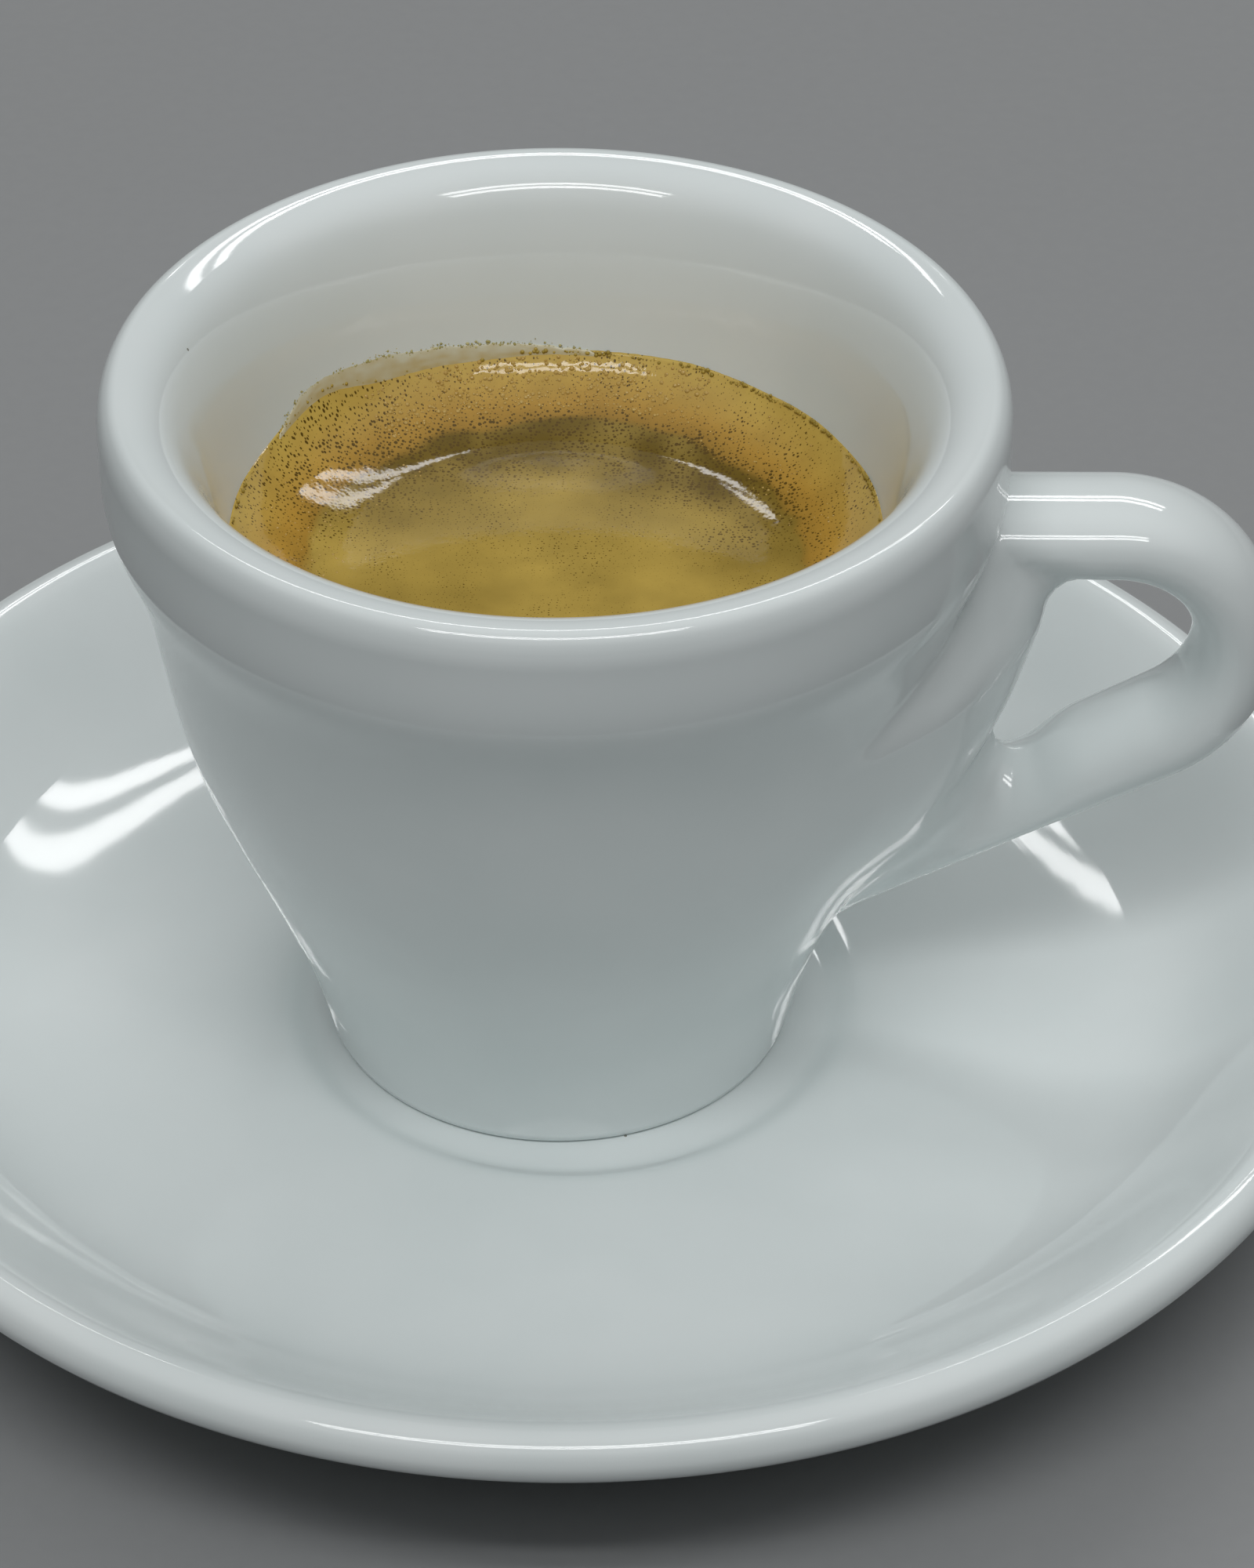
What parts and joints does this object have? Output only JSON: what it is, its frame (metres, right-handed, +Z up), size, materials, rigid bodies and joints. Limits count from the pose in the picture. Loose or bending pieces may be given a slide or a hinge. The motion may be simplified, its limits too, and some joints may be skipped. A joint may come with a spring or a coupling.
{
  "type": "espresso shot",
  "caption": "Espresso with crema in a thick-walled porcelain cup with a loop handle, standing on its round saucer.",
  "frame": {"origin": "middle of the saucer's foot ring, on the surface it stands on", "axes": "+Z up; the cup's handle points along +X; the side seen first faces -Y"},
  "size_m": [0.1216, 0.1216, 0.063],
  "materials": {
    "saucer_porcelain": "clear glossy glaze on cool white porcelain",
    "cup_porcelain": "clear glossy glaze on cool white porcelain",
    "espresso": null
  },
  "bodies": {
    "root": {"saucer": "saucer_porcelain", "cup": "cup_porcelain", "espresso": "espresso"}
  },
  "joints": []
}
